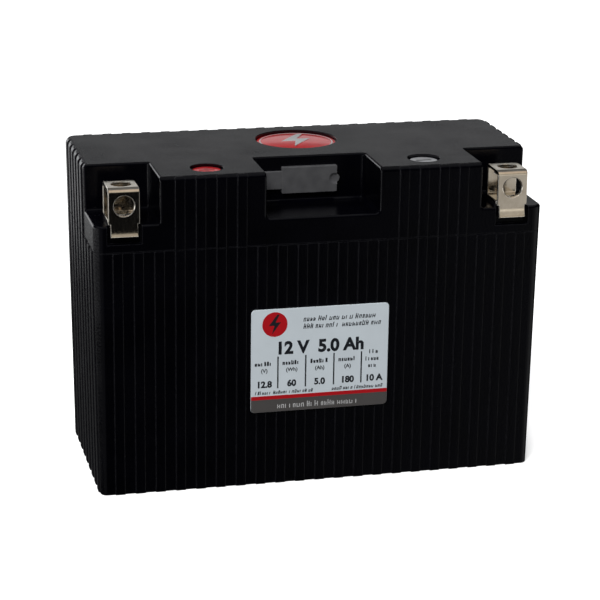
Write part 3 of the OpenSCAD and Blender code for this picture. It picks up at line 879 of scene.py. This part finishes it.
# ---------------------------------------------------------------- materials
class Finish:
    """Small builder of one node material in the frame's own coordinates."""

    def __init__(self, name):
        self.material = bpy.data.materials.new(name)
        self.material.use_nodes = True
        self.tree = self.material.node_tree
        self.surface = self.tree.nodes["Principled BSDF"]
        self.place = self.node("ShaderNodeTexCoord").outputs["Object"]

    def node(self, kind, **settings):
        made = self.tree.nodes.new(kind)
        for key, value in settings.items():
            setattr(made, key, value)
        return made

    def join(self, source, target):
        if hasattr(source, "is_output"):
            self.tree.links.new(source, target)
        else:
            target.default_value = source

    def noise(self, size, detail=2.0, stretch=(1, 1, 1), roughness=0.5):
        """Noise whose patches are about size millimetres across."""
        mapping = self.node("ShaderNodeMapping")
        mapping.inputs["Scale"].default_value = stretch
        self.join(self.place, mapping.inputs["Vector"])
        made = self.node("ShaderNodeTexNoise")
        made.inputs["Scale"].default_value = 1 / (size * MM)
        made.inputs["Detail"].default_value = detail
        made.inputs["Roughness"].default_value = roughness
        self.join(mapping.outputs["Vector"], made.inputs["Vector"])
        return made.outputs["Fac"]

    def spread(self, value, low, high, to_low, to_high):
        made = self.node("ShaderNodeMapRange")
        self.join(value, made.inputs["Value"])
        for key, number in (("From Min", low), ("From Max", high), ("To Min", to_low),
                            ("To Max", to_high)):
            made.inputs[key].default_value = number
        return made.outputs["Result"]

    def mix(self, share, first, second, blend="MIX"):
        made = self.node("ShaderNodeMix", data_type="RGBA", blend_type=blend)
        self.join(share, made.inputs["Factor"])
        self.join(first, made.inputs["A"])
        self.join(second, made.inputs["B"])
        return made.outputs["Result"]

    def maths(self, operation, first, second=0.0):
        made = self.node("ShaderNodeMath", operation=operation)
        self.join(first, made.inputs[0])
        self.join(second, made.inputs[1])
        return made.outputs["Value"]

    def edges(self, radius):
        """0 on flat ground, rising to 1 on edges sharper than radius millimetres."""
        rounded = self.node("ShaderNodeBevel", samples=3)
        rounded.inputs["Radius"].default_value = radius * MM
        true = self.node("ShaderNodeNewGeometry")
        dot = self.node("ShaderNodeVectorMath", operation="DOT_PRODUCT")
        self.join(rounded.outputs["Normal"], dot.inputs[0])
        self.join(true.outputs["Normal"], dot.inputs[1])
        return self.spread(dot.outputs["Value"], 0.98, 0.8, 0.0, 1.0)

    def bump(self, height, depth, after=None):
        made = self.node("ShaderNodeBump")
        made.inputs["Strength"].default_value = 1.0
        made.inputs["Distance"].default_value = depth * MM
        self.join(height, made.inputs["Height"])
        if after is not None:
            self.join(after, made.inputs["Normal"])
        return made.outputs["Normal"]

    def set(self, **values):
        names = {"colour": "Base Color", "roughness": "Roughness", "metallic": "Metallic",
                 "normal": "Normal", "specular": "Specular IOR Level", "coat": "Coat Weight",
                 "coat_roughness": "Coat Roughness", "sheen": "Sheen Weight",
                 "tint": "Specular Tint", "ior": "IOR"}
        for key, value in values.items():
            self.join(value, self.surface.inputs[names[key]])
        return self.material


def rgb(r, g, b):
    return (r, g, b, 1.0)


def moulded_plastic(name, colour, worn, roughness, grain, depth, wear):
    """Spark-eroded moulded plastic: fine pits, slow gloss changes, paler rubbed edges."""
    make = Finish(name)
    fine = make.noise(grain, detail=3.0, roughness=0.6)
    slow = make.noise(14.0, detail=2.0)
    rubbed = make.maths("MULTIPLY", make.edges(0.4),
                        make.spread(make.noise(1.6), 0.2, 0.6, wear * 0.4, wear))
    base = make.mix(make.spread(slow, 0.35, 0.65, 0.0, 1.0), rgb(*colour),
                    rgb(*[c * 1.5 for c in colour]))
    base = make.mix(rubbed, base, rgb(*worn))
    gloss = make.maths("ADD", make.spread(slow, 0.3, 0.7, roughness - 0.04, roughness + 0.04),
                       make.spread(fine, 0.3, 0.7, -0.05, 0.05))
    return make.set(colour=base, roughness=gloss, normal=make.bump(fine, depth))


def satin_nickel(name):
    """Nickel-plated strip: warm, faintly brushed, with speckles and rubbed edges that are rougher, less metallic and
    paler; the paler edge colour is partly wear and partly a painted highlight.
    """
    make = Finish(name)
    brushed = make.noise(0.35, detail=3.0, stretch=(1, 1, 0.25))
    speckle = make.noise(0.55, detail=4.0, roughness=0.7)
    slow = make.noise(4.0, detail=2.0)
    base = make.mix(make.spread(slow, 0.35, 0.65, 0.0, 1.0), rgb(0.80, 0.75, 0.66),
                    rgb(0.70, 0.64, 0.55))
    # Painted highlight and wear: a pale diffuse colour on the edges stands in for bright edge reflections as well as
    # rubbed plating.
    base = make.mix(make.edges(0.3), base, rgb(0.85, 0.82, 0.76))
    gloss = make.maths("ADD", make.spread(speckle, 0.3, 0.7, 0.1, 0.18),
                       make.spread(brushed, 0.3, 0.7, -0.04, 0.05))
    edge = make.edges(0.3)
    gloss = make.maths("ADD", gloss, make.maths("MULTIPLY", edge, 0.2))
    normal = make.bump(speckle, 0.005)
    return make.set(colour=base, roughness=gloss,
                    # The edges lose metal here so that their pale painted-highlight colour shows.
                    metallic=make.maths("SUBTRACT", 1.0, make.maths("MULTIPLY", edge, 0.6)),
                    normal=make.bump(brushed, 0.0008, normal))


def printed_film(name, colour, roughness):
    """Laminated label film or ink under its clear layer."""
    make = Finish(name)
    slow = make.noise(9.0, detail=2.0)
    fine = make.noise(0.25, detail=2.0)
    base = make.mix(make.spread(slow, 0.3, 0.7, 0.0, 1.0), rgb(*colour),
                    rgb(*[c * 0.94 for c in colour]))
    gloss = make.spread(fine, 0.3, 0.7, roughness - 0.05, roughness + 0.05)
    return make.set(colour=base, roughness=gloss, coat=0.35, coat_roughness=0.22,
                    normal=make.bump(make.noise(2.5, detail=1.0), 0.004))


def domed_resin(name, colour, deep):
    """Coloured disc under clear resin."""
    make = Finish(name)
    slow = make.noise(3.5, detail=2.0)
    fleck = make.noise(0.12, detail=2.0)
    base = make.mix(make.spread(slow, 0.3, 0.7, 0.0, 1.0), rgb(*colour), rgb(*deep))
    base = make.mix(make.spread(fleck, 0.55, 0.75, 0.0, 0.35), base,
                    rgb(*[min(1, c * 1.6 + 0.01) for c in colour]))
    return make.set(colour=base, roughness=make.spread(fleck, 0.3, 0.7, 0.3, 0.4), coat=0.6,
                    coat_roughness=0.08, normal=make.bump(fleck, 0.004))


def grey_rubber(name):
    make = Finish(name)
    fine = make.noise(0.22, detail=3.0, roughness=0.65)
    slow = make.noise(3.5, detail=2.0)
    base = make.mix(make.spread(slow, 0.3, 0.7, 0.0, 1.0), rgb(0.068, 0.068, 0.071),
                    rgb(0.052, 0.052, 0.055))
    base = make.mix(make.maths("MULTIPLY", make.edges(0.3), 0.3), base, rgb(0.12, 0.12, 0.12))
    return make.set(colour=base, roughness=make.spread(fine, 0.3, 0.7, 0.5, 0.68),
                    normal=make.bump(fine, 0.02))


def plain_grain(name, colour, roughness, metallic, grain, depth, mottle):
    """Finish of the parts inside: mottled colour, uneven gloss and a fine surface grain."""
    make = Finish(name)
    fine = make.noise(grain, detail=3.0)
    slow = make.noise(grain * 18, detail=3.0)
    base = make.mix(make.spread(slow, 0.3, 0.7, 0.0, 1.0), rgb(*colour),
                    rgb(*[c * (1 - mottle) for c in colour]))
    base = make.mix(make.maths("MULTIPLY", make.edges(0.3), 0.5), base,
                    rgb(*[min(1, c * 1.3 + 0.02) for c in colour]))
    gloss = make.maths("ADD", make.spread(slow, 0.3, 0.7, roughness - 0.05, roughness + 0.05),
                       make.spread(fine, 0.3, 0.7, -0.06, 0.06))
    return make.set(colour=base, roughness=gloss, metallic=metallic, normal=make.bump(fine, depth))


def make_materials():
    return {
        "case_plastic": moulded_plastic("case_plastic", (0.0004, 0.0004, 0.001),
                                        (0.021, 0.021, 0.024), 0.2, 0.6, 0.045, 0.8),
        "nickel": satin_nickel("nickel"),
        "red_print": domed_resin("red_print", (0.45, 0.014, 0.018), (0.36, 0.010, 0.013)),
        "silver_print": domed_resin("silver_print", (0.36, 0.37, 0.38), (0.28, 0.28, 0.29)),
        "grey_rubber": grey_rubber("grey_rubber"),
        "label_film": printed_film("label_film", (0.60, 0.66, 0.70), 0.42),
        "ink_dark": printed_film("ink_dark", (0.012, 0.014, 0.018), 0.4),
        "ink_red": printed_film("ink_red", (0.42, 0.007, 0.012), 0.4),
        "ink_grey": printed_film("ink_grey", (0.075, 0.07, 0.068), 0.4),
        "ink_light": printed_film("ink_light", (0.5, 0.5, 0.5), 0.4),
        "mark_deep_red": domed_resin("mark_deep_red", (0.30, 0.008, 0.010), (0.22, 0.005, 0.006)),
        "mark_grey": domed_resin("mark_grey", (0.05, 0.05, 0.052), (0.035, 0.035, 0.036)),
        "mark_silver": plain_grain("mark_silver", (0.6, 0.61, 0.62), 0.35, 0.4, 0.3, 0.004, 0.15),
        "sealant": plain_grain("sealant", (0.03, 0.03, 0.03), 0.5, 0.0, 0.5, 0.03, 0.3),
        "ivory_plastic": plain_grain("ivory_plastic", (0.7, 0.66, 0.55), 0.4, 0.0, 0.25, 0.01, 0.08),
        "gilt_pin": plain_grain("gilt_pin", (0.85, 0.62, 0.25), 0.25, 1.0, 0.1, 0.003, 0.15),
        "pouch_foil": plain_grain("pouch_foil", (0.72, 0.73, 0.75), 0.34, 0.8, 0.4, 0.03, 0.1),
        "tab_aluminium": plain_grain("tab_aluminium", (0.8, 0.81, 0.82), 0.35, 1.0, 0.3, 0.005, 0.1),
        "tab_copper": plain_grain("tab_copper", (0.72, 0.36, 0.22), 0.32, 1.0, 0.3, 0.005, 0.2),
        "separator_sheet": plain_grain("separator_sheet", (0.8, 0.8, 0.75), 0.6, 0.0, 0.3, 0.02, 0.1),
        "circuit_board": plain_grain("circuit_board", (0.02, 0.16, 0.06), 0.35, 0.0, 0.3, 0.01, 0.25),
        "red_wire": plain_grain("red_wire", (0.5, 0.02, 0.02), 0.45, 0.0, 0.3, 0.01, 0.15),
        "black_wire": plain_grain("black_wire", (0.015, 0.015, 0.015), 0.45, 0.0, 0.3, 0.01, 0.2),
        "white_wire": plain_grain("white_wire", (0.7, 0.7, 0.68), 0.45, 0.0, 0.3, 0.01, 0.1),
        "foam": plain_grain("foam", (0.03, 0.03, 0.032), 0.95, 0.0, 0.6, 0.15, 0.3),
    }


def paint(piece, material):
    piece.data.materials.clear()
    piece.data.materials.append(material)


# ---------------------------------------------------------------- camera, stage, light
def make_camera():
    """The camera stands where the photographer stood: in front, to the left, looking down."""
    data = bpy.data.cameras.new("camera")
    data.lens = 127.35
    data.sensor_width = 36
    data.clip_start = 0.01
    data.clip_end = 20
    camera = link("camera", data)
    yaw, pitch, roll = 0.2377, 0.3001, 0.012
    forward = Vector((math.sin(yaw) * math.cos(pitch), math.cos(yaw) * math.cos(pitch),
                      -math.sin(pitch)))
    right = Vector((math.cos(yaw), -math.sin(yaw), 0))
    up = right.cross(forward)
    right_rolled = right * math.cos(roll) + up * math.sin(roll)
    up_rolled = up * math.cos(roll) - right * math.sin(roll)
    place = Matrix((right_rolled, up_rolled, -forward)).transposed().to_4x4()
    place.translation = Vector((-160.21, -662.98, 263.46)) * MM
    camera.matrix_world = place
    bpy.context.scene.camera = camera


def seen_or_not(tree, seen, otherwise):
    """Mixes two shaders: one for the camera's own view, one for reflected and scattered light."""
    path = tree.nodes.new("ShaderNodeLightPath")
    mix = tree.nodes.new("ShaderNodeMixShader")
    tree.links.new(path.outputs["Is Camera Ray"], mix.inputs["Fac"])
    tree.links.new(otherwise, mix.inputs[1])
    tree.links.new(seen, mix.inputs[2])
    return mix.outputs["Shader"]


class Sky:
    """Builds the studio surroundings that glossy surfaces mirror, by direction."""

    def __init__(self, tree):
        self.tree = tree
        place = tree.nodes.new("ShaderNodeTexCoord").outputs["Generated"]
        split = tree.nodes.new("ShaderNodeSeparateXYZ")
        tree.links.new(place, split.inputs[0])
        self.bearing = self.maths("ARCTAN2", split.outputs["X"], split.outputs["Y"])
        self.rise = self.maths("ARCSINE", split.outputs["Z"], 0.0)

    def maths(self, operation, first, second):
        made = self.tree.nodes.new("ShaderNodeMath")
        made.operation = operation
        for socket, value in zip(made.inputs, (first, second)):
            if hasattr(value, "is_output"):
                self.tree.links.new(value, socket)
            else:
                socket.default_value = value
        return made.outputs["Value"]

    def step(self, value, degrees, soft):
        made = self.tree.nodes.new("ShaderNodeMapRange")
        made.interpolation_type = "SMOOTHSTEP"
        self.tree.links.new(value, made.inputs["Value"])
        made.inputs["From Min"].default_value = math.radians(degrees - soft)
        made.inputs["From Max"].default_value = math.radians(degrees + soft)
        return made.outputs["Result"]

    def patch(self, left, right, low, high, soft_sides, soft_ends, strength):
        """A soft-edged bright patch between two bearings and two elevations, in degrees."""
        inside = self.maths("SUBTRACT", self.step(self.bearing, left, soft_sides),
                            self.step(self.bearing, right, soft_sides))
        level = self.maths("SUBTRACT", self.step(self.rise, low, soft_ends),
                           self.step(self.rise, high, soft_ends))
        return self.maths("MULTIPLY", self.maths("MULTIPLY", inside, level), strength)


# Left and right bearing (0 is straight behind the battery), low and high elevation, softness
# of the sides and of the ends, all in degrees, then strength.
SKY_PATCHES = [(-2, 34, 2, 18, 6, 3, 0.26), (-50, -4, -15.6, 16, 3, 0.6, 0.42),
               (-50, -4, -4, 14, 3, 4, 0.9), (-50, -4, -34, -15.6, 3, 0.6, 0.05),
               (-125, -50, -14.6, 8, 5, 0.8, 1.0), (-125, -50, -32, -14.6, 5, 2, 0.02),
               (84, 128, -40, -4, 8, 6, 0.25), (126, 161, -34, -4, 5, 6, 0.12),
               (-168, -125, -34, -4, 5, 6, 0.08), (-200, 200, 42, 100, 5, 6, 0.15)]


def make_world():
    """White to the camera, even grey for scattered light, a lit studio for reflections."""
    world = bpy.data.worlds.new("studio")
    world.use_nodes = True
    tree = world.node_tree
    white = tree.nodes["Background"]
    white.inputs["Color"].default_value = rgb(1, 1, 1)
    sky = Sky(tree)
    level = 0.004
    for patch in SKY_PATCHES:
        level = sky.maths("ADD", level, sky.patch(*patch))
    mirrored = tree.nodes.new("ShaderNodeBackground")
    mirrored.inputs["Color"].default_value = rgb(0.97, 0.98, 1.0)
    tree.links.new(level, mirrored.inputs["Strength"])
    room = tree.nodes.new("ShaderNodeBackground")
    room.inputs["Color"].default_value = rgb(0.97, 0.98, 1.0)
    room.inputs["Strength"].default_value = 0.2
    path = tree.nodes.new("ShaderNodeLightPath")
    scattered = tree.nodes.new("ShaderNodeMixShader")
    tree.links.new(path.outputs["Is Glossy Ray"], scattered.inputs["Fac"])
    tree.links.new(room.outputs["Background"], scattered.inputs[1])
    tree.links.new(mirrored.outputs["Background"], scattered.inputs[2])
    tree.links.new(seen_or_not(tree, white.outputs["Background"], scattered.outputs["Shader"]),
                   tree.nodes["World Output"].inputs["Surface"])
    bpy.context.scene.world = world


def make_floor():
    """A pale floor for the camera; it stays dark in reflections, like a shaded table edge. Its glow dims near the
    case, a painted contact shadow.
    """
    size = 3.0
    mesh = bpy.data.meshes.new("floor")
    mesh.from_pydata([(-size, -size, 0), (size, -size, 0), (size, size, 0), (-size, size, 0)], [],
                     [(0, 1, 2, 3)])
    floor = link("floor", mesh)
    floor.location.z = -0.00005
    material = bpy.data.materials.new("floor")
    material.use_nodes = True
    tree = material.node_tree
    pale = tree.nodes.new("ShaderNodeBsdfDiffuse")
    pale.inputs["Color"].default_value = rgb(0.8, 0.8, 0.8)
    glow = tree.nodes.new("ShaderNodeEmission")
    # Painted shade: the floor's glow is turned down where the case is close, as a painted contact shadow.
    painted_shade_probe = tree.nodes.new("ShaderNodeAmbientOcclusion")
    painted_shade_probe.samples = 6
    painted_shade_probe.inputs["Distance"].default_value = 14 * MM
    glow_dimmed_by_painted_shade = tree.nodes.new("ShaderNodeMapRange")
    glow_dimmed_by_painted_shade.inputs["From Min"].default_value = 0.5
    glow_dimmed_by_painted_shade.inputs["To Min"].default_value = 0.4
    glow_dimmed_by_painted_shade.inputs["To Max"].default_value = 0.82
    tree.links.new(painted_shade_probe.outputs["AO"], glow_dimmed_by_painted_shade.inputs["Value"])
    tree.links.new(glow_dimmed_by_painted_shade.outputs["Result"], glow.inputs["Strength"])
    both = tree.nodes.new("ShaderNodeAddShader")
    tree.links.new(pale.outputs[0], both.inputs[0])
    tree.links.new(glow.outputs[0], both.inputs[1])
    dim = tree.nodes.new("ShaderNodeBsdfDiffuse")
    dim.inputs["Color"].default_value = rgb(0.02, 0.02, 0.02)
    tree.links.new(seen_or_not(tree, both.outputs[0], dim.outputs[0]),
                   tree.nodes["Material Output"].inputs["Surface"])
    mesh.materials.append(material)
    floor.visible_glossy = False


def area_light(name, place, target, width, height, power, colour=(1, 1, 1), receivers=None):
    data = bpy.data.lights.new(name, "AREA")
    data.shape = "RECTANGLE"
    data.size = width
    data.size_y = height
    data.energy = power
    data.color = colour
    light = link(name, data)
    light.location = place
    light.rotation_mode = "QUATERNION"
    light.rotation_quaternion = (Vector(target) - Vector(place)).to_track_quat("-Z", "Y")
    if receivers:
        group = bpy.data.collections.new(name + "_receivers")
        for piece in receivers:
            group.objects.link(piece)
        light.light_linking.receiver_collection = group
    return light


# ---------------------------------------------------------------- assembly
def place_piece(piece, material, body="root", stands_for=()):
    paint(piece, material)
    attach(piece, body)
    if stands_for:
        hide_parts(*stands_for)
    return piece


def dress_cad_nodes(materials):
    slots = {part["node"]: part["material_slot"] for part in frame["record"]["subparts"]}
    for node, piece in frame["nodes"].items():
        piece.data.materials.clear()
        piece.data.materials.append(materials[slots[node]])


# Cards that light only the terminals: name, place and target in metres, width, height, power,
# colour and the terminals they reach (0 is the left one, 1 the right one).
TERMINAL_CARDS = [
    ("back_card", (0.1, 0.9, 0.35), (0, 0, 0.1), 1.2, 0.32, 0.33, (1.0, 0.99, 0.96), (0, 1)),
    ("front_card", (0.112, -0.17, 0.062), (0.063, -0.032, 0.095), 0.12, 0.1, 0.013,
     (1.0, 0.94, 0.85), (1,)),
    ("bend_card", (0.04, -0.4, 0.62), (0, 0, 0.1), 0.8, 0.46, 0.5, (1.0, 0.78, 0.58), (0, 1)),
    ("tab_card", (0.005, -0.46, 0.335), (-0.064, -0.032, 0.087), 0.5, 0.19, 0.13,
     (1.0, 0.9, 0.76), (0, 1)),
    ("gap_card", (0.1616, -0.3105, 0.1421), (0.063, -0.032, 0.09), 0.2, 0.1, 0.028,
     (1.0, 0.92, 0.8), (1,)),
    ("left_card", (-0.36, -0.06, 0.08), (-0.06, -0.03, 0.096), 0.25, 0.13, 0.025,
     (1.0, 0.98, 0.94), (0,)),
    ("right_card", (0.36, -0.03, 0.08), (0.06, -0.03, 0.096), 0.25, 0.13, 0.12,
     (1.0, 0.98, 0.94), (1,)),
    ("far_card", (0.36, -0.03, 0.08), (0.06, -0.03, 0.096), 0.25, 0.13, 0.03,
     (1.0, 0.98, 0.94), (0,)),
]

materials = make_materials()
dress_cad_nodes(materials)

place_piece(make_case(), materials["case_plastic"], stands_for=["case"])
place_piece(make_cover(), materials["case_plastic"], stands_for=["cover"])
terminals = [place_piece(make_terminal("terminal_left", -1), materials["nickel"],
                         stands_for=["terminal_positive"]),
             place_piece(make_terminal("terminal_right", 1), materials["nickel"],
                         stands_for=["terminal_negative"])]

RECESS_FLOOR = HEIGHT - DISC_DEPTH
disc_red = place_piece(make_disc("disc_red", -DISC_X, DISC_Y, 4.6, RECESS_FLOOR, RECESS_FLOOR + 0.35, 0.08, 0.15, 48),
            materials["red_print"], stands_for=["polarity_disc_positive"])
place_piece(make_disc("disc_silver", DISC_X, DISC_Y, 4.6, RECESS_FLOOR, RECESS_FLOOR + 0.35, 0.08, 0.15, 48),
            materials["silver_print"], stands_for=["polarity_disc_negative"])
place_piece(mesh_piece("plus_mark", *outline_part(plus_outline(-DISC_X, DISC_Y, 5.0, 1.3),
                                                  RECESS_FLOOR + 0.1, RECESS_FLOOR + 0.48)),
            materials["mark_deep_red"])
place_piece(mesh_piece("minus_mark", *outline_part(bar_outline(DISC_X, DISC_Y, 5.0, 1.3),
                                                   RECESS_FLOOR + 0.1, RECESS_FLOOR + 0.48)),
            materials["mark_grey"])
BADGE_FLOOR = HEIGHT - BADGE_DEPTH
badge = place_piece(make_disc("badge", BADGE_X, BADGE_Y, 13.3, BADGE_FLOOR, BADGE_FLOOR + 0.3, 0.6, 0.2, 96),
            materials["red_print"], stands_for=["badge_disc"])
place_piece(mesh_piece("badge_bolt", *outline_part(bolt_outline(BADGE_X, BADGE_Y, 17), BADGE_FLOOR + 0.55,
                                                   BADGE_FLOOR + 0.96, 0.05)),
            materials["mark_silver"])
place_piece(mesh_piece("badge_ring", *ring_part(BADGE_X, BADGE_Y, 12.3, 11.9, BADGE_FLOOR + 0.2,
                                                BADGE_FLOOR + 0.44, 96)),
            materials["mark_silver"])

cap = place_piece(make_port_cap(), materials["grey_rubber"], "port_cap", ["port_cap"])
place_piece(make_cap_anchor(), materials["grey_rubber"], "root", ["port_cap_anchor"])
web = make_cap_web()
paint(web, materials["grey_rubber"])
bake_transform(web)

place_piece(make_label_sheet("label_sheet", 1), materials["label_film"],
            stands_for=["label_front"])
place_piece(make_front_print(), materials["ink_dark"])
red_ink, footer_ink, light_ink = make_front_colours()
place_piece(red_ink, materials["ink_red"])
place_piece(footer_ink, materials["ink_grey"])
place_piece(light_ink, materials["ink_light"])
place_piece(make_label_sheet("label_back_sheet", -1), materials["label_film"],
            stands_for=["label_back"])
place_piece(make_back_print(), materials["ink_dark"])
red_back, footer_back = make_back_colours()
place_piece(red_back, materials["ink_red"])
place_piece(footer_back, materials["ink_grey"])

make_camera()
make_world()
make_floor()
key = area_light("key", (-0.5, -0.75, 1.1), (0, 0, 0.05), 0.7, 0.7, 26)
key.visible_glossy = False
for name, place, target, width, height, power, colour, lit in TERMINAL_CARDS:
    card = area_light(name, place, target, width, height, power, colour,
                      [terminals[side] for side in lit])
    card.visible_camera = False
badge_card = area_light("badge_card", (0.205, 1.165, 0.30), (0, 0.012, 0.105), 0.55, 0.27, 0.16,
                        receivers=[badge, disc_red])
badge_card.visible_camera = False
bpy.context.scene.view_settings.view_transform = "Standard"
